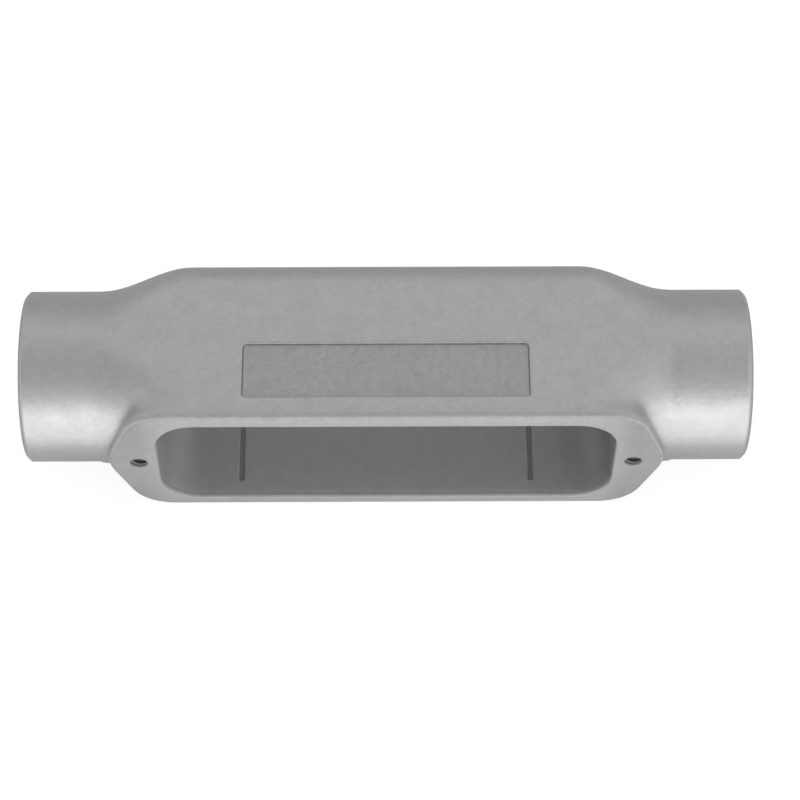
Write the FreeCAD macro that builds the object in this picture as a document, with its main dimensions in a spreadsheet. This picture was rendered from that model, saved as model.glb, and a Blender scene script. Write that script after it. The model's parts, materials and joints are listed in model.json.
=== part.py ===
"""Conduit body with two in-line threaded hubs, trade size 3/4 (metric designator 21).

The whole part is one casting.  X runs along the two hubs, Y runs from the machined
rim of the cover opening into the body, and Z is up.  The origin is the centre of the
cover opening in the plane of the rim, midway between the two cover screws.

How it is built:
  trough   the drafted U-shaped wiring chamber, with a flat back and rounded back edges
  necks    lofts that carry the trough down to the round hubs
  hubs     the two round collars that take the conduit
  rim      the pointed oval seat of the cover, which runs down into the necks
  chamber  the hollow inside, with drafted walls and a rounded floor
  bores    bell, bushing and thread bore of each hub, one turned profile
  details  cover screw holes, nameplate recess and the narrow grooves inside

Thread bores are modelled at the root of the thread, as plain cylinders.
"""
import FreeCAD, Part
import math
import os

import Sketcher

# name, millimetres or degrees, meaning
SIZES = [
    ("hub_dia", 34.5, "outside of a hub"),
    ("hub_length", 15.0, "straight part of a hub, past the neck"),
    ("hub_end_bevel", 0.8, "bevel on the outer edge of a hub's end"),
    ("axis_depth", 20.0, "plane of the rim to the axis of the hubs"),
    ("body_depth", 38.4, "plane of the rim to the flat back"),
    ("body_width", 34.8, "across the side walls at the axis of the hubs"),
    ("body_draft", 1.0, "lean of each side wall, in degrees"),
    ("back_round", 7.0, "round along the back edges of the trough"),
    ("wall", 3.0, "wall of the trough"),
    ("opening_length", 91.0, "cover opening"),
    ("opening_round", 8.0, "corners of the cover opening"),
    ("trough_inset", 6.5, "end of the opening back to the start of a neck"),
    ("neck_length", 18.5, "from the trough to the straight part of a hub"),
    ("trough_front", 0.9, "plane of the rim to the front of the trough behind it"),
    ("front_round", 0.4, "round along the front edges of the trough, inside the rim"),
    ("rim_step", 0.15, "how far the rim stands out from the side walls"),
    ("rim_tip_round", 11.0, "radius of the tips of the oval"),
    ("rim_shoulder_round", 9.0, "radius between the flank and the side of a tip"),
    ("rim_tip_lean", 70.0, "angle of the sides of a tip to X, in degrees"),
    ("rim_land", 1.8, "height of the upright edge of the rim"),
    ("rim_flare", 4.4, "depth at which the rim has run back to the wall"),
    ("collar_depth", 17.0, "depth of the collar that carries the screw bosses"),
    ("collar_inset", 0.3, "how far the collar's flanks stay inside the side walls"),
    ("rim_root_round", 1.5, "fillet where the rim runs into the walls and the necks"),
    ("rim_edge_round", 1.0, "round on the outer edge of the rim"),
    ("thread_root_dia", 26.5, "root of the hub's thread"),
    ("thread_length", 16.0, "hub end to the bushing"),
    ("thread_lead", 0.8, "chamfer at the mouth of the thread"),
    ("throat_dia", 20.6, "way through the bushing"),
    ("bushing_length", 3.2, "thickness of the bushing"),
    ("bushing_bevel", 1.0, "bevel on the bushing's mouth"),
    ("boss_cover", 1.2, "metal between a screw hole and the bell under it"),
    ("screw_inset", 3.8, "end of the opening to the centre of a cover screw"),
    ("ear_reach", 6.0, "centre of a cover screw to the tip of the rim"),
    ("screw_root_dia", 3.5, "root of the cover screw's thread"),
    ("screw_depth", 6.0, "cover screw hole"),
    ("plate_length", 56.4, "nameplate recess"),
    ("plate_width", 12.4, "nameplate recess"),
    ("plate_edge", 5.0, "plane of the rim to the near side of the recess"),
    ("plate_sink", 0.8, "depth of the recess"),
    ("plate_round", 1.0, "corners of the recess"),
    ("groove_spacing", 59.2, "between the two grooves across the inner walls"),
    ("groove_width", 1.0, "groove in an inner wall"),
    ("groove_depth", 0.6, "groove in an inner wall"),
    ("groove_edge", 3.7, "plane of the rim to the near end of a groove"),
]

# Shares of a neck's length, from the hub to the trough, at which it has a section.
NECK_STATIONS = [0.0, 0.2, 0.5, 0.8, 1.0]
# A round section keeps flats this long, so that every section has the same eight edges.
ROUND_FLAT = 0.35
# How soon the front corners of a neck tighten on the way to the trough.
FRONT_POWER = 1.5
# How far a cutting tool runs past the surface that it leaves through.
PAST = 1.0

# Sizes that follow from the ones above.
TROUGH_LENGTH = "(opening_length - 2 * trough_inset)"
NECK_END = f"({TROUGH_LENGTH} / 2 + neck_length)"
HALF_LENGTH = f"({NECK_END} + hub_length)"
SCREW_PLACE = "(opening_length / 2 + screw_inset)"
RIM_LENGTH = f"(2 * ({SCREW_PLACE} + ear_reach))"
CHAMBER_DEPTH = "(body_depth - wall)"

doc = FreeCAD.newDocument("conduit_body")
sizes = doc.addObject("Spreadsheet::Sheet", "Sizes")
for row, (alias, amount, meaning) in enumerate(SIZES, start=1):
    sizes.set(f"A{row}", alias)
    sizes.set(f"B{row}", str(amount))
    sizes.set(f"C{row}", meaning)
    sizes.setAlias(f"B{row}", alias)
doc.recompute()


def amount_of(formula):
    """The value of a formula in the sheet's names."""
    found = sizes.evalExpression(formula)
    return float(getattr(found, "Value", found))


def in_sheet_names(formula):
    """The same formula, as an object outside the sheet has to write it."""
    for alias, _, _ in sorted(SIZES, key=lambda entry: -len(entry[0])):
        formula = formula.replace(alias, f"\0{alias.upper()}\0")
    for alias, _, _ in SIZES:
        formula = formula.replace(f"\0{alias.upper()}\0", f"Sizes.{alias}")
    return formula


def bind(thing, name, formula):
    """Tie a property or a sketch constraint to a formula."""
    thing.setExpression(name, in_sheet_names(formula))


# ---------------------------------------------------------------- sketches

def sketch_on(body, plane, name, offset="0", across="0"):
    """An empty sketch on one of the body's origin planes.

    It is moved along the plane's normal, and across it in its own second direction.
    """
    sketch = body.newObject("Sketcher::SketchObject", name)
    role = {"XY": "XY_Plane", "XZ": "XZ_Plane", "YZ": "YZ_Plane"}[plane]
    origin_plane = next(f for f in body.Origin.OriginFeatures if f.Role == role)
    sketch.AttachmentSupport = (origin_plane, "")
    sketch.MapMode = "FlatFace"
    shift = FreeCAD.Vector(0, amount_of(across), amount_of(offset))
    sketch.AttachmentOffset = FreeCAD.Placement(shift, FreeCAD.Rotation())
    bind(sketch, "AttachmentOffset.Base.y", across)
    bind(sketch, "AttachmentOffset.Base.z", offset)
    return sketch


def vec(along, up):
    return FreeCAD.Vector(along, up, 0)


def fix(sketch, kind, *where, formula=None):
    """Add a constraint and, if it is a size, tie it to its formula."""
    if formula is None:
        sketch.addConstraint(Sketcher.Constraint(kind, *where))
        return
    value = amount_of(formula)
    if kind == "Angle":
        value = math.radians(value)
    index = sketch.addConstraint(Sketcher.Constraint(kind, *where, value))
    if kind == "Angle":
        formula = f"({formula}) * 1 deg"
    else:
        formula = f"({formula}) * 1 mm"
    bind(sketch, f"Constraints[{index}]", formula)


def close_smoothly(sketch, count):
    """Join each edge to the next with a shared point and a shared direction."""
    for edge in range(count):
        fix(sketch, "Tangent", edge, 2, (edge + 1) % count, 1)


def arc(centre, radius, start, end):
    """An arc that runs anticlockwise from one angle to another, in degrees."""
    circle = Part.Circle(centre, FreeCAD.Vector(0, 0, 1), radius)
    return Part.ArcOfCircle(circle, math.radians(start), math.radians(end))


def on_arc(centre, radius, angle):
    turn = math.radians(angle)
    return centre + vec(radius * math.cos(turn), radius * math.sin(turn))


def draw_loop(sketch, arcs):
    """Arcs given anticlockwise as centre, radius, start and end, joined by lines."""
    for place, (centre, radius, start, end) in enumerate(arcs):
        after = arcs[(place + 1) % len(arcs)]
        sketch.addGeometry(arc(centre, radius, start, end), False)
        line_start = on_arc(centre, radius, end)
        line_end = on_arc(after[0], after[1], after[2])
        sketch.addGeometry(Part.LineSegment(line_start, line_end), False)
    close_smoothly(sketch, 2 * len(arcs))


def rounded_rectangle(sketch, left, right, low, high, corner):
    """A rectangle with rounded corners; each side is a formula."""
    x_low, x_high, y_low, y_high, r = (
        amount_of(side) for side in (left, right, low, high, corner)
    )
    draw_loop(sketch, [
        (vec(x_high - r, y_high - r), r, 0, 90),
        (vec(x_low + r, y_high - r), r, 90, 180),
        (vec(x_low + r, y_low + r), r, 180, 270),
        (vec(x_high - r, y_low + r), r, 270, 360),
    ])
    for line in (1, 5):
        fix(sketch, "Horizontal", line)
    for line in (3, 7):
        fix(sketch, "Vertical", line)
    fix(sketch, "Radius", 0, formula=corner)
    for other in (2, 4, 6):
        fix(sketch, "Equal", 0, other)
    fix(sketch, "DistanceX", -1, 1, 7, 1, formula=right)
    fix(sketch, "DistanceX", -1, 1, 3, 1, formula=left)
    fix(sketch, "DistanceY", -1, 1, 1, 1, formula=high)
    fix(sketch, "DistanceY", -1, 1, 5, 1, formula=low)


def rectangle(sketch, first, left, right, low, high):
    """A rectangle whose sides are formulas; first is the number of its first line."""
    x_low, x_high, y_low, y_high = (amount_of(side) for side in (left, right, low, high))
    corners = [vec(x_low, y_low), vec(x_high, y_low), vec(x_high, y_high), vec(x_low, y_high)]
    for number, corner in enumerate(corners):
        sketch.addGeometry(Part.LineSegment(corner, corners[(number + 1) % 4]), False)
    for number in range(4):
        fix(sketch, "Coincident", first + number, 2, first + (number + 1) % 4, 1)
        fix(sketch, "Vertical" if number % 2 else "Horizontal", first + number)
    fix(sketch, "DistanceX", -1, 1, first, 1, formula=left)
    fix(sketch, "DistanceX", -1, 1, first, 2, formula=right)
    fix(sketch, "DistanceY", -1, 1, first, 1, formula=low)
    fix(sketch, "DistanceY", -1, 1, first + 2, 1, formula=high)


def pointed_oval(sketch, length, width, inset):
    """The outline of the rim: straight flanks, leaning tip sides and round tips."""
    half = amount_of(f"({length}) / 2 - ({inset})")
    flank = amount_of(f"({width}) / 2 - ({inset})")
    tip = amount_of(f"rim_tip_round - ({inset})")
    shoulder = amount_of(f"rim_shoulder_round - ({inset})")
    lean = amount_of("rim_tip_lean")
    turn = math.radians(lean)

    tip_centre = vec(half - tip, 0)
    # The side of a tip is the line whose normal leans 90 - lean above X.
    reach = tip_centre.x * math.sin(turn) + tip
    shoulder_up = flank - shoulder
    shoulder_along = (reach - shoulder - shoulder_up * math.cos(turn)) / math.sin(turn)
    normal = 90 - lean
    draw_loop(sketch, [
        (tip_centre, tip, -normal, normal),
        (vec(shoulder_along, shoulder_up), shoulder, normal, 90),
        (vec(-shoulder_along, shoulder_up), shoulder, 90, 180 - normal),
        (-tip_centre, tip, 180 - normal, 180 + normal),
        (vec(-shoulder_along, -shoulder_up), shoulder, 180 + normal, 270),
        (vec(shoulder_along, -shoulder_up), shoulder, 270, 360 - normal),
    ])
    fix(sketch, "Horizontal", 3)
    fix(sketch, "Horizontal", 9)
    fix(sketch, "Radius", 0, formula=f"rim_tip_round - ({inset})")
    fix(sketch, "Equal", 0, 6)
    fix(sketch, "Radius", 2, formula=f"rim_shoulder_round - ({inset})")
    for other in (4, 8, 10):
        fix(sketch, "Equal", 2, other)
    fix(sketch, "DistanceX", -1, 1, 0, 3, formula=f"({length}) / 2 - rim_tip_round")
    fix(sketch, "DistanceX", 6, 3, -1, 1, formula=f"({length}) / 2 - rim_tip_round")
    fix(sketch, "PointOnObject", 0, 3, -1)
    fix(sketch, "PointOnObject", 6, 3, -1)
    fix(sketch, "DistanceY", -1, 1, 3, 1, formula=f"({width}) / 2 - ({inset})")
    fix(sketch, "DistanceY", 9, 1, -1, 1, formula=f"({width}) / 2 - ({inset})")
    # Angles are taken from the X axis to each tip side, in its own direction.
    fix(sketch, "Angle", -1, 1, 1, 1, formula="180 - rim_tip_lean")
    fix(sketch, "Angle", -1, 1, 5, 1, formula="180 + rim_tip_lean")
    fix(sketch, "Angle", -1, 1, 7, 1, formula="-rim_tip_lean")
    fix(sketch, "Angle", -1, 1, 11, 1, formula="rim_tip_lean")


def drafted_section(sketch, front, back, half_width, front_round, back_round, draft):
    """A section across the hubs: two leaning sides with rounded corners.

    In the sketch the first direction is Y and the second is Z.
    """
    near, far, half, small, large, lean = (
        amount_of(part) for part in (front, back, half_width, front_round, back_round, draft)
    )
    axis = amount_of("axis_depth")
    slope = math.tan(math.radians(lean))

    def corner(along, radius):
        up = (half - radius) / math.cos(math.radians(lean)) - (along - axis) * slope
        return vec(along, up)

    back_centre = corner(far - large, large)
    front_centre = corner(near + small, small)
    draw_loop(sketch, [
        (back_centre, large, 0, 90 - lean),
        (front_centre, small, 90 - lean, 180),
        (vec(front_centre.x, -front_centre.y), small, 180, 270 + lean),
        (vec(back_centre.x, -back_centre.y), large, 270 + lean, 360),
    ])
    fix(sketch, "Vertical", 3)
    fix(sketch, "Vertical", 7)
    fix(sketch, "Radius", 0, formula=back_round)
    fix(sketch, "Equal", 0, 6)
    fix(sketch, "Radius", 2, formula=front_round)
    fix(sketch, "Equal", 2, 4)
    fix(sketch, "DistanceX", -1, 1, 7, 1, formula=back)
    fix(sketch, "DistanceX", -1, 1, 3, 1, formula=front)
    fix(sketch, "Angle", -1, 1, 1, 1, formula=f"180 - ({draft})")
    fix(sketch, "Angle", -1, 1, 5, 1, formula=draft)
    middle = sketch.addGeometry(Part.Point(vec(axis, 0)), True)
    fix(sketch, "PointOnObject", middle, 1, -1)
    fix(sketch, "DistanceX", -1, 1, middle, 1, formula="axis_depth")
    fix(sketch, "Distance", middle, 1, 1, formula=half_width)
    fix(sketch, "Distance", middle, 1, 5, formula=half_width)


# ---------------------------------------------------------------- features

def loft(body, kind, name, sections, ruled=False):
    feature = body.newObject(f"PartDesign::{kind}Loft", name)
    feature.Profile = sections[0]
    feature.Sections = sections[1:]
    feature.Ruled = ruled
    doc.recompute()
    return feature


def extrude(body, kind, name, sketch, length, reverse=False, both_ways=False):
    feature = body.newObject(f"PartDesign::{kind}", name)
    feature.Profile = sketch
    feature.Reversed = reverse
    if both_ways:
        feature.Midplane = True
    bind(feature, "Length", length)
    doc.recompute()
    return feature


def mirror(body, name, features):
    """The same features on the other side of the YZ plane."""
    feature = body.newObject("PartDesign::Mirrored", name)
    feature.Originals = features
    plane = next(f for f in body.Origin.OriginFeatures if f.Role == "YZ_Plane")
    feature.MirrorPlane = (plane, [""])
    body.Tip = feature
    doc.recompute()
    return feature


def dress(body, kind, name, size, chosen):
    """Round or bevel the edges of the tip that the test chooses."""
    base = body.Tip
    names = [f"Edge{n}" for n, edge in enumerate(base.Shape.Edges, 1) if chosen(edge)]
    if not names:
        raise RuntimeError(f"{name} found no edges")
    feature = body.newObject(f"PartDesign::{kind}", name)
    feature.Base = (base, names)
    bind(feature, "Radius" if kind == "Fillet" else "Size", size)
    doc.recompute()
    return feature


def close(one, other, gap=1e-3):
    return abs(one - other) < gap


def lies_in_depth(edge, depth):
    """Whether the whole edge lies at one depth below the rim."""
    box = edge.BoundBox
    return close(box.YMin, depth) and close(box.YMax, depth)


# ---------------------------------------------------------------- the casting

def add_trough(body):
    section = sketch_on(body, "YZ", "trough_section")
    drafted_section(section, "trough_front", "body_depth", "body_width / 2",
                    "front_round", "back_round", "body_draft")
    return extrude(body, "Pad", "trough", section, TROUGH_LENGTH, both_ways=True)


def add_necks_and_hubs(body):
    sections = []
    hub = "hub_dia / 2"
    for number, share in enumerate(NECK_STATIONS):
        blend = share * share * (3 - 2 * share)
        roundness = 1 - share ** FRONT_POWER

        def between(at_hub, at_trough):
            return f"({at_hub}) * {1 - blend} + ({at_trough}) * {blend}"

        place = f"{NECK_END} * {1 - share} + {TROUGH_LENGTH} / 2 * {share}"
        section = sketch_on(body, "YZ", f"neck_section_{number}", place)
        inside_hub = f"{hub} - {ROUND_FLAT} / 3"
        drafted_section(
            section,
            between(f"axis_depth - {inside_hub}", "trough_front"),
            between(f"axis_depth + {inside_hub}", "body_depth"),
            between(inside_hub, "body_width / 2"),
            f"({inside_hub} - {ROUND_FLAT}) * {roundness} + front_round * {1 - roundness}",
            between(f"{inside_hub} - {ROUND_FLAT}", "back_round"),
            between("0", "body_draft"),
        )
        sections.append(section)
    neck = loft(body, "Additive", "neck", sections)
    mirror(body, "necks", [neck])

    circle = sketch_on(body, "YZ", "hub_circle")
    circle.addGeometry(Part.Circle(vec(amount_of("axis_depth"), 0),
                                   FreeCAD.Vector(0, 0, 1), amount_of(hub)), False)
    fix(circle, "Radius", 0, formula=hub)
    fix(circle, "PointOnObject", 0, 3, -1)
    fix(circle, "DistanceX", -1, 1, 0, 3, formula="axis_depth")
    return extrude(body, "Pad", "hubs", circle, f"2 * {HALF_LENGTH}", both_ways=True)


def add_rim(body):
    rim_width = f"2 * ({outer_half_width('0')} + rim_step)"
    under_rim = f"(rim_step + {chamber_draft('collar_depth')} + collar_inset)"
    sections = []
    for number, (depth, inset) in enumerate([
        ("0", "0"),
        ("rim_land", "0"),
        ("rim_flare", under_rim),
        ("collar_depth", under_rim),
    ]):
        # The XZ plane's normal points out of the rim, so depth is negative along it.
        section = sketch_on(body, "XZ", f"rim_section_{number}", f"-({depth})")
        pointed_oval(section, RIM_LENGTH, rim_width, inset)
        sections.append(section)
    return loft(body, "Additive", "rim", sections, ruled=True)


def round_outside(body, carrier, rim):
    """Fillets that only touch the outside, made before anything is cut out."""
    # Over the middle of a hub the rim has this much room below it.
    room = "(axis_depth - hub_dia / 2)"
    dress(body, "Fillet", "rim_root", f"min(rim_root_round; {room} * 0.9)",
          lambda edge: lies_on(edge, rim.AddSubShape) and lies_on(edge, carrier.Shape))
    half = amount_of(HALF_LENGTH)
    dress(body, "Chamfer", "hub_end_bevels", "hub_end_bevel",
          lambda edge: close(abs(edge.CenterOfMass.x), half) and edge.Length > 1)
    dress(body, "Fillet", "rim_edge", "rim_edge_round", lambda edge: lies_in_depth(edge, 0))


def lies_on(edge, shape):
    """Whether the middle of the edge is on the surface of the shape."""
    middle = edge.valueAt(0.5 * (edge.FirstParameter + edge.LastParameter))
    return shape.Shells[0].distToShape(Part.Vertex(middle))[0] < 1e-3


def chamber_draft(depth):
    """How far the chamber's walls have come in at a depth below the rim."""
    return f"({depth}) * tan(body_draft * 1 deg)"


def outer_half_width(depth):
    """Half the trough's width at a depth below the rim."""
    lean = "body_draft * 1 deg"
    return f"body_width / 2 / cos({lean}) + (axis_depth - ({depth})) * tan({lean})"


def inner_half_width(depth):
    """Half the chamber's width at a depth below the rim."""
    return f"({outer_half_width('0')} - wall - {chamber_draft(depth)})"


def add_chamber(body):
    ends = []
    for name, depth in (("chamber_mouth", "0"), ("chamber_floor", CHAMBER_DEPTH)):
        half_length = f"(opening_length / 2 - {chamber_draft(depth)})"
        half_width = inner_half_width(depth)
        section = sketch_on(body, "XZ", name, f"-({depth})")
        rounded_rectangle(section, f"-{half_length}", half_length, f"-{half_width}",
                          half_width, f"opening_round - {chamber_draft(depth)}")
        ends.append(section)
    loft(body, "Subtractive", "chamber", ends, ruled=True)
    floor_depth = amount_of(CHAMBER_DEPTH)
    dress(body, "Fillet", "chamber_floor_round", "back_round - wall",
          lambda edge: lies_in_depth(edge, floor_depth))


def add_bores(body):
    """The bore of each hub: bell, bushing and thread, turned from one profile."""
    end = HALF_LENGTH
    face = f"({end} - thread_length)"
    bushing_back = f"({face} - bushing_length)"
    bell_mouth = f"(opening_length / 2 - {chamber_draft('body_depth')} - {PAST})"
    throat = "throat_dia / 2"
    root = "thread_root_dia / 2"
    # The point of a drill is shorter than a third of its diameter.
    bell = "axis_depth - screw_depth - screw_root_dia / 3 - boss_cover"

    profile = sketch_on(body, "XY", "bore_profile", across="axis_depth")
    turned_profile(profile, [
        (bell_mouth, "0"),
        (bell_mouth, bell),
        (bushing_back, throat),
        (f"{face} - bushing_bevel", throat),
        (face, f"{throat} + bushing_bevel"),
        (face, root),
        (f"{end} - thread_lead", root),
        (f"{end} + {PAST}", f"{root} + thread_lead + {PAST}"),
        (f"{end} + {PAST}", "0"),
    ])
    bore = body.newObject("PartDesign::Groove", "bore")
    bore.Profile = profile
    bore.ReferenceAxis = (profile, ["H_Axis"])
    bore.Angle = 360
    doc.recompute()
    mirror(body, "bores", [bore])


def turned_profile(sketch, corners):
    """A closed outline through corners given as formulas: along the axis, and out from it."""
    places = [vec(amount_of(along), amount_of(out)) for along, out in corners]
    count = len(corners)
    for number, place in enumerate(places):
        following = places[(number + 1) % count]
        sketch.addGeometry(Part.LineSegment(place, following), False)
    for number, (along, out) in enumerate(corners):
        fix(sketch, "Coincident", number, 2, (number + 1) % count, 1)
        fix(sketch, "DistanceX", -1, 1, number, 1, formula=along)
        if out == "0":
            fix(sketch, "PointOnObject", number, 1, -1)
        else:
            fix(sketch, "DistanceY", -1, 1, number, 1, formula=out)


def add_screw_holes(body):
    centres = sketch_on(body, "XZ", "screw_centres")
    for circle, side in enumerate((-1, 1)):
        centre = vec(side * amount_of(SCREW_PLACE), 0)
        radius = amount_of("screw_root_dia / 2")
        centres.addGeometry(Part.Circle(centre, FreeCAD.Vector(0, 0, 1), radius), False)
        fix(centres, "Radius", circle, formula="screw_root_dia / 2")
        fix(centres, "PointOnObject", circle, 3, -1)
        fix(centres, "DistanceX", -1, 1, circle, 3, formula=f"{side} * {SCREW_PLACE}")
    doc.recompute()
    holes = body.newObject("PartDesign::Hole", "screw_holes")
    holes.Profile = centres
    holes.DepthType = "Dimension"
    holes.DrillPoint = "Angled"
    bind(holes, "Diameter", "screw_root_dia * 1 mm")
    bind(holes, "Depth", "screw_depth * 1 mm")
    doc.recompute()


def add_nameplate(body):
    """A shallow recess in the wall on the +Z side."""
    centre = "plate_edge + plate_width / 2"
    floor = f"{outer_half_width(centre)} - plate_sink"
    outline = sketch_on(body, "XY", "plate_outline", floor)
    rounded_rectangle(outline, "-plate_length / 2", "plate_length / 2",
                      "plate_edge", "plate_edge + plate_width", "plate_round")
    extrude(body, "Pocket", "plate_recess", outline, f"plate_sink + {PAST}", reverse=True)


def add_grooves(body):
    """Two narrow grooves that run down both long inner walls."""
    near = "groove_edge"
    far = f"({CHAMBER_DEPTH} - back_round + wall)"
    outlines = sketch_on(body, "XY", "groove_outlines")
    for number, side in enumerate((-1, 1)):
        middle = f"{side} * groove_spacing / 2"
        rectangle(outlines, 4 * number, f"{middle} - groove_width / 2",
                  f"{middle} + groove_width / 2", near, far)
    extrude(body, "Pocket", "grooves", outlines,
            f"2 * ({inner_half_width(near)} + groove_depth)", both_ways=True)


def main():
    body = doc.addObject("PartDesign::Body", "ConduitBody")
    body.Label = "conduit_body"
    body.Placement = FreeCAD.Placement()
    add_trough(body)
    carrier = add_necks_and_hubs(body)
    rim = add_rim(body)
    round_outside(body, carrier, rim)
    add_chamber(body)
    add_bores(body)
    add_screw_holes(body)
    add_nameplate(body)
    add_grooves(body)
    return [body]


def check_and_write(sub_parts):
    doc.recompute()
    for thing in doc.Objects:
        if "Invalid" in thing.State or "Error" in thing.State:
            raise RuntimeError(f"{thing.Name} failed: {thing.State}")
    os.makedirs("parts", exist_ok=True)
    for sub_part in sub_parts:
        shape = sub_part.Shape
        if shape.isNull() or not shape.isValid() or len(shape.Solids) != 1:
            raise RuntimeError(f"{sub_part.Label} is not one valid solid")
        shape.exportStep(f"parts/{sub_part.Label}.step")
        print(sub_part.Label, f"volume {shape.Volume:.1f} mm3", shape.BoundBox)


check_and_write(main())
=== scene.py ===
"""The looks of the conduit body: enamelled skin, cut threads, studio light and camera.

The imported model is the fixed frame.  Lengths are in metres, except where a comment
says millimetres.
"""
import json
import math

import bpy
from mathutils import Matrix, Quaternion, Vector, noise


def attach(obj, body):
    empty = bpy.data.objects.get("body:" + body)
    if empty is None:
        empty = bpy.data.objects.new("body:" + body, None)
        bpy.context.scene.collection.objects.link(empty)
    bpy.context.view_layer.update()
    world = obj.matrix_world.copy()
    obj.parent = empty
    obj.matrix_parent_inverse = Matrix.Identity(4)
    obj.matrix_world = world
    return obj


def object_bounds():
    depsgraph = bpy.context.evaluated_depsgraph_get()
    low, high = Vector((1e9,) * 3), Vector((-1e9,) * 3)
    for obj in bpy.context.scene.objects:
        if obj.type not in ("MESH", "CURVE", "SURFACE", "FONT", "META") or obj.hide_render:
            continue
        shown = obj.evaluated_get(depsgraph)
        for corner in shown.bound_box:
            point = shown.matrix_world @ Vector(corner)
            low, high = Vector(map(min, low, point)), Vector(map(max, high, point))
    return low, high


MM = 0.001
WHITE = (1, 1, 1, 1)

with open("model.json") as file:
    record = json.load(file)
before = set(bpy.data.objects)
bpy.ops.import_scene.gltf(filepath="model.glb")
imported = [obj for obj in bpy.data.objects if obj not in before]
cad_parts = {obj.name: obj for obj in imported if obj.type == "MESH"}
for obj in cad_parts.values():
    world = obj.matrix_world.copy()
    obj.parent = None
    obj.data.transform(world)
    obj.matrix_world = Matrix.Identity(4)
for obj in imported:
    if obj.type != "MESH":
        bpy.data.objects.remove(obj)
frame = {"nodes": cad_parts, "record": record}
CAD_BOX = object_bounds()
MOUNTS = {mount["name"]: mount for mount in frame["record"]["mounts"]}

# ---------------------------------------------------------------- camera
CAMERA_LIFT = math.radians(60.0)      # above the horizon
CAMERA_REACH = 0.530                  # from the hubs' axis
CAMERA_LENS = 117.3                   # millimetres, on the sensor below
CAMERA_SENSOR = 36.0
CAMERA_TURN = math.radians(-0.308)    # the part sits a little left of the middle
CAMERA_NOD = math.radians(-0.5385)    # and a little above it
CAMERA_ROLL = math.radians(-0.2)

# ---------------------------------------------------------------- light
WORLD_LEVEL = 1.0
# The room is darker above the open side, and low down behind the part: the direction,
# how near to it (as a cosine) the dip begins, and how deep it is.
ABOVE_FRONT = Vector((-0.30, -0.36, 0.88)).normalized()
ABOVE_FRONT_FROM, ABOVE_FRONT_DIP = 0.55, 0.60
BEHIND_FROM, BEHIND_DIP = 0.6, 0.54
FLOOR_SIZE = 6.0
FLOOR_COLOUR = 0.85
# The floor glows for the camera and for reflections, so that it reads as white paper.
# The rest of what they see is its lit surface, which carries the shadow.
FLOOR_GLOW = 0.86
FLOOR_SHADE = 0.25
# In reflections the paper is darker close in front of the part, which shades it.
NEAR_FLOOR, FAR_FLOOR = 0.32, 1.0
NEAR_FLOOR_AT, FAR_FLOOR_AT = 10 * MM, 26 * MM
# A wide panel stands in front, and a second one lies in front on the floor.
FRONT_HEADING, FRONT_REACH = (0, -1, 0.02), 1.0
FRONT_SIZE, FRONT_ENERGY, FRONT_ROLL = (1.8, 0.62), 8.8, 12
TABLE_AHEAD, TABLE_ABOVE = 274 * MM, 0.5 * MM
TABLE_SIZE, TABLE_ENERGY = (1.8, 0.5), 3.1


def add_camera(target):
    """A long lens that looks down at the open side."""
    back = Vector((0.0, -math.cos(CAMERA_LIFT), math.sin(CAMERA_LIFT)))
    data = bpy.data.cameras.new("camera")
    data.lens = CAMERA_LENS
    data.sensor_width = CAMERA_SENSOR
    data.clip_start = 0.01
    camera = bpy.data.objects.new("camera", data)
    bpy.context.scene.collection.objects.link(camera)
    camera.rotation_mode = "QUATERNION"
    look = (-back).to_track_quat("-Z", "Y")
    turn = Quaternion((0, 1, 0), CAMERA_TURN)
    nod = Quaternion((1, 0, 0), CAMERA_NOD)
    roll = Quaternion((0, 0, 1), CAMERA_ROLL)
    camera.rotation_quaternion = look @ turn @ nod @ roll
    camera.location = target + back * CAMERA_REACH
    bpy.context.scene.camera = camera


def add_area_light(name, aim, direction, distance, size, energy, roll=0.0):
    """A soft panel at a distance from the point it faces; roll is in degrees."""
    data = bpy.data.lights.new(name, "AREA")
    data.shape = "RECTANGLE"
    data.size, data.size_y = size
    data.energy = energy
    lamp = bpy.data.objects.new(name, data)
    bpy.context.scene.collection.objects.link(lamp)
    heading = Vector(direction).normalized()
    lamp.location = aim + heading * distance
    lamp.rotation_mode = "QUATERNION"
    level = (-heading).to_track_quat("-Z", "Y")
    lamp.rotation_quaternion = level @ Quaternion((0, 0, 1), math.radians(roll))
    return lamp


class Graph:
    """A short way to build a node tree."""

    def __init__(self, tree):
        self.tree = tree

    def add(self, kind, inputs=None, **settings):
        node = self.tree.nodes.new(f"ShaderNode{kind}")
        for name, value in settings.items():
            setattr(node, name, value)
        for name, value in (inputs or {}).items():
            socket = node.inputs[name]
            if isinstance(value, bpy.types.NodeSocket):
                self.tree.links.new(value, socket)
            else:
                socket.default_value = value
        return node

    def math(self, operation, *values):
        return self.add("Math", dict(enumerate(values)), operation=operation).outputs[0]

    def ramp(self, value, low, high, to_low=0.0, to_high=1.0, smooth=True):
        return self.add("MapRange", {
            "Value": value, "From Min": low, "From Max": high,
            "To Min": to_low, "To Max": to_high,
        }, interpolation_type="SMOOTHSTEP" if smooth else "LINEAR").outputs["Result"]

    def band(self, value, rise=None, fall=None):
        """1 between two soft limits, each given in millimetres as where it runs."""
        shares = []
        if rise:
            shares.append(self.ramp(value, rise[0] * MM, rise[1] * MM))
        if fall:
            shares.append(self.ramp(value, fall[0] * MM, fall[1] * MM, 1.0, 0.0))
        return self.lowest(*shares)

    def lowest(self, first, *others):
        for other in others:
            first = self.math("MINIMUM", first, other)
        return first

    def product(self, first, *others):
        for other in others:
            first = self.math("MULTIPLY", first, other)
        return first


def new_graph(owner):
    owner.use_nodes = True
    owner.node_tree.nodes.clear()
    return Graph(owner.node_tree)


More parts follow.
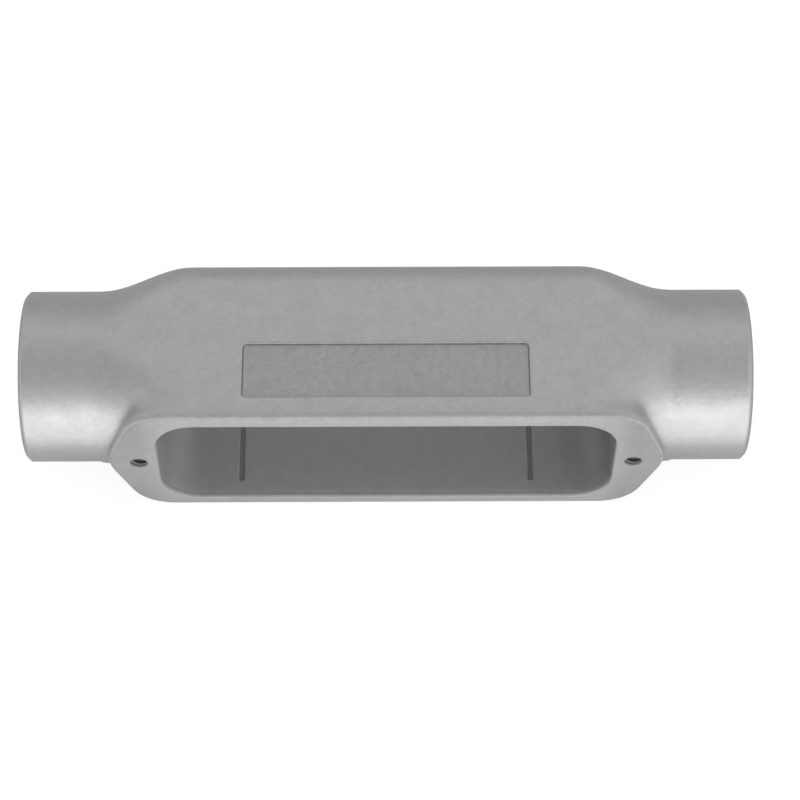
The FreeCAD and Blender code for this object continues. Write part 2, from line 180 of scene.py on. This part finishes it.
def seen_directly(graph):
    """1 for what the camera sees, by itself or in a reflection or through glass."""
    path = graph.add("LightPath").outputs
    rays = graph.math("MAXIMUM", path["Is Camera Ray"], path["Is Glossy Ray"])
    return graph.math("MAXIMUM", rays, path["Is Transmission Ray"])


def add_world(level):
    """A white room that the camera sees as plain white."""
    world = bpy.data.worlds.new("studio")
    bpy.context.scene.world = world
    graph = new_graph(world)
    heading = graph.add("TexCoord").outputs["Generated"]
    facing = graph.add("VectorMath", {0: heading, 1: ABOVE_FRONT}, operation="DOT_PRODUCT")
    behind = graph.add("SeparateXYZ", {"Vector": heading}).outputs["Y"]
    dip = graph.math(
        "ADD",
        graph.ramp(facing.outputs["Value"], ABOVE_FRONT_FROM, 1.0, 0.0, ABOVE_FRONT_DIP),
        graph.ramp(behind, BEHIND_FROM, 1.0, 0.0, BEHIND_DIP),
    )
    path = graph.add("LightPath").outputs
    rays = graph.math("MAXIMUM", path["Is Camera Ray"], path["Is Transmission Ray"])
    strength = graph.math("MAXIMUM", rays, graph.math("SUBTRACT", level, dip))
    background = graph.add("Background", {"Color": WHITE, "Strength": strength})
    graph.add("OutputWorld", {"Surface": background.outputs[0]})


def add_floor(height):
    mesh = bpy.data.meshes.new("floor")
    half = FLOOR_SIZE / 2
    corners = [(-half, -half, 0), (half, -half, 0), (half, half, 0), (-half, half, 0)]
    mesh.from_pydata(corners, [], [(0, 1, 2, 3)])
    floor = bpy.data.objects.new("floor", mesh)
    floor.location.z = height
    bpy.context.scene.collection.objects.link(floor)
    material = bpy.data.materials.new("floor")
    graph = new_graph(material)
    paper = graph.add("BsdfDiffuse", {"Color": (FLOOR_COLOUR,) * 3 + (1,)})
    shade = graph.add("BsdfDiffuse", {"Color": (FLOOR_SHADE,) * 3 + (1,)})
    ahead = graph.add("SeparateXYZ", {
        "Vector": graph.add("TexCoord").outputs["Object"],
    }).outputs["Y"]
    mirrored = graph.ramp(ahead, -NEAR_FLOOR_AT, -FAR_FLOOR_AT, NEAR_FLOOR, FAR_FLOOR)
    glossy = graph.add("LightPath").outputs["Is Glossy Ray"]
    level = graph.ramp(glossy, 0.0, 1.0, FLOOR_GLOW, mirrored, smooth=False)
    glow = graph.add("Emission", {"Color": WHITE, "Strength": level})
    both = graph.add("AddShader", {0: shade.outputs[0], 1: glow.outputs[0]})
    mix = graph.add("MixShader", {
        "Fac": seen_directly(graph), 1: paper.outputs[0], 2: both.outputs[0],
    })
    graph.add("OutputMaterial", {"Surface": mix.outputs[0]})
    mesh.materials.append(material)


# ---------------------------------------------------------------- the casting's skin
BASE = 0.425
METALLIC = 0.55
ROUGHNESS, ROUGHNESS_SPREAD = 0.42, 0.03
RIM_ROUGHNESS = 0.30                  # added, near the cut rim
GRAIN_SIZE, GRAIN_HEIGHT = 0.9 * MM, 0.06 * MM
WAVE_SIZE, WAVE_HEIGHT = 9.0 * MM, 0.12 * MM
BLOTCH_SIZE = 3.2 * MM
BLOTCH_SPREAD, GRAIN_SPREAD = 0.035, 0.05      # of the tone, up and down
NOISE_LOW, NOISE_HIGH = 0.3, 0.7      # where nearly all of the noise lies
CUT_GRAIN = 0.25                      # what is left of the relief on the cut faces
SOFT_EDGE = 0.8 * MM
ROOT_EDGE = 2.8 * MM                  # at the roots of the ears
EDGE_SAMPLES = 12
HUB_AXIS_DEPTH = MOUNTS["hub_right"]["pos_m"][1]
WALL_DRAFT = math.tan(math.radians(1.0))
# Tones against the base.
# Painted light: the inside is lightened by the first share; painted shade: its right end
# is darkened to the second.
INSIDE_PAINTED_LIGHT, RIGHT_END_PAINTED_SHADE = 1.15, 0.80
RIGHT_END = (34 * MM, 46 * MM)
# Painted light on the rim's near long side, painted shade on its far long side.
NEAR_RIM_PAINTED_LIGHT, FAR_RIM_PAINTED_SHADE = 1.10, 0.84        # the rim's two long sides
RIM_SIDES = 16 * MM
# Painted shade: the rim's tips are darkened.
RIM_TIPS_PAINTED_SHADE = 0.80
RIM_TIPS_FROM = (42 * MM, 50 * MM)
# Painted shade in the tapped holes.
HOLE_PAINTED_SHADE = 0.52
PLATE_SHARE, PLATE_GRAIN = 0.85, 3.0


def turned_normal(graph, x, y, z):
    """A normal given in the part's own directions."""
    local = graph.add("CombineXYZ", {"X": x, "Y": y, "Z": z}).outputs[0]
    turned = graph.add("VectorTransform", {"Vector": local}, vector_type="NORMAL",
                       convert_from="OBJECT", convert_to="WORLD").outputs[0]
    return graph.add("VectorMath", {0: turned}, operation="NORMALIZE").outputs["Vector"]


def blend_normals(graph, share, first, second):
    # By number, because the Mix node has sockets of the same name for each data type.
    mix = graph.add("Mix", {0: share, 4: first, 5: second}, data_type="VECTOR")
    return mix.outputs[1]


def noise_field(graph, place, size, detail, roughness):
    return graph.add("TexNoise", {
        "Vector": place, "Scale": 1.0 / size, "Detail": detail, "Roughness": roughness,
    }).outputs["Fac"]


def skin_normal(graph, xyz, along, side):
    """Softened edges, with what enamel bridges smoothed over.  Bands in millimetres."""
    # The roots of the ears run softly into the necks.
    root = graph.lowest(graph.band(along, rise=(35, 41), fall=(57, 62)),
                        graph.band(xyz["Y"], rise=(1.6, 3.4), fall=(14, 18)))
    radius = graph.ramp(root, 0.0, 1.0, SOFT_EDGE, ROOT_EDGE, smooth=False)
    normal = graph.add("Bevel", {"Radius": radius}, samples=EDGE_SAMPLES).outputs[0]
    # The small step between a neck and its hub.
    hub_step = graph.band(along, rise=(55.6, 57.2), fall=(57.8, 59.6))
    across = graph.math("SUBTRACT", xyz["Y"], HUB_AXIS_DEPTH)
    round_hub = turned_normal(graph, 0.0, across, xyz["Z"])
    normal = blend_normals(graph, hub_step, normal, round_hub)
    # The narrow step in the long walls, under the rim.
    wall_step = graph.lowest(graph.band(along, fall=(40, 46)),
                             graph.band(side, rise=(17.1, 17.3)),
                             graph.band(xyz["Y"], rise=(0.9, 1.3), fall=(4.6, 5.4)))
    flat_wall = turned_normal(graph, 0.0, WALL_DRAFT, graph.math("SIGN", xyz["Z"]))
    return blend_normals(graph, wall_step, normal, flat_wall)


def tapped_holes(graph, xyz, along):
    """1 on the walls of the two screw holes."""
    screws = MOUNTS["cover_screws"]["dims"]
    from_axis = graph.add("CombineXYZ", {
        "X": graph.math("SUBTRACT", along, screws["spacing_x_mm"] / 2 * MM), "Z": xyz["Z"],
    }).outputs[0]
    away = graph.add("VectorMath", {0: from_axis}, operation="LENGTH").outputs["Value"]
    wall = screws["hole_r_mm"]
    return graph.lowest(graph.band(away, fall=(wall + 0.06, wall + 0.1)),
                        graph.band(xyz["Y"], rise=(0.1, 0.4), fall=(7.6, 7.8)))


def casting_material(name="enamelled_casting", base=BASE, grain=1.0):
    """Satin grey enamel over sand-cast iron; the cut faces are smoother. Painted light and
    shade set the tone of the inside, the rim and the tapped holes.
    """
    material = bpy.data.materials.new(name)
    graph = new_graph(material)
    place = graph.add("TexCoord").outputs["Object"]
    xyz = graph.add("SeparateXYZ", {"Vector": place}).outputs
    side = graph.math("ABSOLUTE", xyz["Z"])
    along = graph.math("ABSOLUTE", xyz["X"])
    # The rim's plane and the ends of the hubs were cut after casting.
    cut_rim = graph.band(xyz["Y"], fall=(0.15, 0.45))
    hub_end = CAD_BOX[1][0] / MM
    cut_end = graph.band(along, rise=(hub_end - 0.3, hub_end - 0.1))
    cut = graph.math("MAXIMUM", cut_rim, cut_end)

    fine = noise_field(graph, place, GRAIN_SIZE, 3.0, 0.55)
    broad = noise_field(graph, place, WAVE_SIZE, 2.0, 0.5)
    blotch = noise_field(graph, place, BLOTCH_SIZE, 4.0, 0.6)

    grains = graph.product(fine, GRAIN_HEIGHT)
    waves = graph.product(broad, WAVE_HEIGHT)
    relief = graph.ramp(cut, 0.0, 1.0, grain, CUT_GRAIN * grain, smooth=False)
    bump = graph.add("Bump", {
        "Strength": 1.0, "Distance": 1.0,
        "Height": graph.product(graph.math("ADD", grains, waves), relief),
        "Normal": skin_normal(graph, xyz, along, side),
    }).outputs[0]

    # Painted light on the inside walls, and painted shade towards the inside's right end.
    inside = graph.lowest(graph.band(side, fall=(14.7, 15.0)),
                          graph.band(xyz["Y"], rise=(0.6, 1.6)),
                          graph.band(along, fall=(45.4, 45.8)))
    inside_light_and_shade = graph.ramp(xyz["X"], *RIGHT_END, INSIDE_PAINTED_LIGHT, RIGHT_END_PAINTED_SHADE)
    # Painted light and shade on the cut rim: a lighter near side, a darker far side and
    # darker tips.
    rim = graph.product(
        graph.ramp(xyz["Z"], -RIM_SIDES, RIM_SIDES, NEAR_RIM_PAINTED_LIGHT, FAR_RIM_PAINTED_SHADE),
        graph.ramp(along, *RIM_TIPS_FROM, 1.0, RIM_TIPS_PAINTED_SHADE))
    tone = graph.product(
        graph.ramp(blotch, NOISE_LOW, NOISE_HIGH,
                   base * (1 - BLOTCH_SPREAD), base * (1 + BLOTCH_SPREAD), smooth=False),
        graph.ramp(fine, NOISE_LOW, NOISE_HIGH,
                   1 - GRAIN_SPREAD, 1 + GRAIN_SPREAD, smooth=False),
        graph.ramp(inside, 0.0, 1.0, 1.0, inside_light_and_shade),
        graph.ramp(cut_rim, 0.0, 1.0, 1.0, rim),
        # Painted shade: the walls of the tapped holes are darkened.
        graph.ramp(tapped_holes(graph, xyz, along), 0.0, 1.0, 1.0, HOLE_PAINTED_SHADE))
    colour = graph.add("CombineColor", {"Red": tone, "Green": tone, "Blue": tone})
    rough = graph.math(
        "ADD",
        graph.ramp(blotch, NOISE_LOW, NOISE_HIGH, ROUGHNESS + ROUGHNESS_SPREAD,
                   ROUGHNESS - ROUGHNESS_SPREAD, smooth=False),
        graph.ramp(xyz["Y"], 0.8 * MM, 2.0 * MM, RIM_ROUGHNESS, 0.0))
    shader = graph.add("BsdfPrincipled", {
        "Base Color": colour.outputs[0], "Metallic": METALLIC, "Roughness": rough,
        "Normal": bump,
    })
    graph.add("OutputMaterial", {"Surface": shader.outputs[0]})
    return material


# ---------------------------------------------------------------- added pieces
INCH = 25.4 * MM
HUB_PITCH, HUB_RIDGE, HUB_STEPS = INCH / 14, 0.75, 56          # ridge as a share of pitch
SCREW_PITCH, SCREW_RIDGE, SCREW_STEPS = INCH / 32, 0.55, 24    # steps in one turn
SCREW_THREAD_FROM, SCREW_THREAD_LENGTH = 0.1 * MM, 5.4 * MM
THREAD_EMBED = 0.05 * MM
THREAD_FADE = 0.5                     # turns at each end over which the ridge comes up
FOOT, CREST = 0.44, 0.07              # half widths of the ridge, as shares of the pitch


def add_piece(name, points, faces, material):
    mesh = bpy.data.meshes.new(name)
    mesh.from_pydata(points, [], faces)
    mesh.update()
    piece = bpy.data.objects.new(name, mesh)
    bpy.context.scene.collection.objects.link(piece)
    mesh.materials.append(material)
    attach(piece, "root")
    return piece


def add_thread(name, centre, axis, root, pitch, height, length, steps, material):
    """A right-handed ridge on the wall of a bore, with a run-out at both ends."""
    axis = Vector(axis).normalized()
    across = axis.orthogonal().normalized()
    upward = axis.cross(across)
    count = int((length / pitch - 1) * steps)
    points = []
    for step in range(count + 1):
        turn = step / steps
        angle = 2 * math.pi * turn
        out = across * math.cos(angle) + upward * math.sin(angle)
        place = (turn - count / steps / 2) * pitch
        fade = min(1.0, turn / THREAD_FADE, (count / steps - turn) / THREAD_FADE)
        crest = root + THREAD_EMBED / 2 - (height + THREAD_EMBED / 2) * fade
        outer = root + THREAD_EMBED
        outline = ((outer, -FOOT), (crest, -CREST), (crest, CREST), (outer, FOOT))
        for radius, shift in outline:
            points.append(Vector(centre) + out * radius + axis * (place + shift * pitch))
    faces = [(0, 1, 2, 3), tuple(4 * count + corner for corner in (3, 2, 1, 0))]
    for step in range(count):
        for corner in range(4):
            after = (corner + 1) % 4
            low, high = 4 * step, 4 * step + 4
            faces.append((low + corner, high + corner, high + after, low + after))
    return add_piece(name, points, faces, material)


# The nameplate's recess, as the solid has it.
PLATE_HALF_LENGTH = 28.2 * MM
PLATE_NEAR, PLATE_FAR = 5.0 * MM, 17.4 * MM
PLATE_FLOOR = 16.756 * MM
WALL_FACE = 17.4 * MM                 # at the rim's plane
# The ground that fills it.
PLATE_GAP = 0.02 * MM
PLATE_GRID = 0.25 * MM
PLATE_CORNER = 0.8 * MM
PLATE_EDGE = 0.03 * MM                # its edge under the wall
PLATE_SLOPE = 0.9 * MM                # how wide its border slopes
PLATE_SUNK = 0.14 * MM                # its middle under its edge
PLATE_ROOT = 0.10 * MM                # its sides reach into the solid
PEBBLE_RISE = 0.20 * MM               # from the lowest to the highest spot


def pebble(x, y):
    """A bare, hammered ground with no mark on it: -1 to 1."""
    spot = Vector((x, y, 0)) / MM
    coarse = noise.noise(spot * 0.55 + Vector((7, 3, 1)))
    fine = noise.noise(spot * 1.3 + Vector((1, 9, 4)))
    return max(-1.0, min(1.0, 1.1 * coarse + 0.6 * fine))


def add_plate_ground(material):
    """The recess's ground as a closed slab, from a grid of points on its face."""
    left, near = -PLATE_HALF_LENGTH + PLATE_GAP, PLATE_NEAR + PLATE_GAP
    wide = 2 * (PLATE_HALF_LENGTH - PLATE_GAP)
    deep = PLATE_FAR - PLATE_NEAR - 2 * PLATE_GAP
    columns, rows = round(wide / PLATE_GRID), round(deep / PLATE_GRID)
    points = []
    for row in range(rows + 1):
        for column in range(columns + 1):
            x = left + wide * column / columns
            y = near + deep * row / rows
            to_side = min(x - left, left + wide - x)
            to_end = min(y - near, near + deep - y)
            edge = min(to_side, to_end, to_side + to_end - PLATE_CORNER)
            share = max(0.0, min(1.0, edge / PLATE_SLOPE))
            share = share * share * (3 - 2 * share)
            wall = WALL_FACE - WALL_DRAFT * y - PLATE_EDGE
            sunk = PLATE_SUNK - 0.5 * PEBBLE_RISE * pebble(x, y)
            points.append((x, y, wall - share * sunk))
    wide_row = columns + 1
    faces = []
    for row in range(rows):
        for column in range(columns):
            first = row * wide_row + column
            faces.append((first, first + 1, first + wide_row + 1, first + wide_row))
    rim = list(range(columns))
    rim += [row * wide_row + columns for row in range(rows)]
    rim += [rows * wide_row + column for column in range(columns, 0, -1)]
    rim += [row * wide_row for row in range(rows, 0, -1)]
    base = len(points)
    for number in rim:
        x, y, _ = points[number]
        points.append((x, y, PLATE_FLOOR - PLATE_ROOT))
    for number, top in enumerate(rim):
        after = (number + 1) % len(rim)
        faces.append((top, base + number, base + after, rim[after]))
    faces.append(tuple(base + number for number in reversed(range(len(rim)))))
    return add_piece("nameplate_ground", points, faces, material)


# ---------------------------------------------------------------- scene
body = frame["nodes"]["conduit_body"]
body.data.materials.clear()
skin = casting_material()
body.data.materials.append(skin)
add_plate_ground(casting_material("nameplate_skin", BASE * PLATE_SHARE, PLATE_GRAIN))
for side in ("left", "right"):
    hub = MOUNTS[f"hub_{side}"]
    dims = hub["dims"]
    add_thread(f"hub_thread_{side}", hub["pos_m"], hub["axis"], dims["r_mm"] * MM,
               HUB_PITCH, HUB_RIDGE * HUB_PITCH, dims["length_mm"] * MM, HUB_STEPS, skin)
screws = MOUNTS["cover_screws"]["dims"]
for name, sign in (("screw_thread_left", -1), ("screw_thread_right", 1)):
    centre = (sign * screws["spacing_x_mm"] / 2 * MM,
              SCREW_THREAD_FROM + SCREW_THREAD_LENGTH / 2, 0)
    add_thread(name, centre, (0, 1, 0), screws["hole_r_mm"] * MM, SCREW_PITCH,
               SCREW_RIDGE * SCREW_PITCH, SCREW_THREAD_LENGTH, SCREW_STEPS, skin)

axis_point = Vector(MOUNTS["hub_right"]["pos_m"])
axis_point.x = 0
floor_height = CAD_BOX[0][2]
add_camera(axis_point)
add_world(WORLD_LEVEL)
add_floor(floor_height)
add_area_light("front", axis_point, FRONT_HEADING, FRONT_REACH, FRONT_SIZE,
               FRONT_ENERGY, FRONT_ROLL)
# The lower half of the hubs' highlight is this panel, mirrored in them.
table_point = Vector((0, -TABLE_AHEAD, floor_height + TABLE_ABOVE))
table = add_area_light("table", table_point, (0, 0, -1), 0, TABLE_SIZE, TABLE_ENERGY)
table.visible_camera = False
table.visible_diffuse = False

bpy.context.scene.view_settings.view_transform = "Standard"
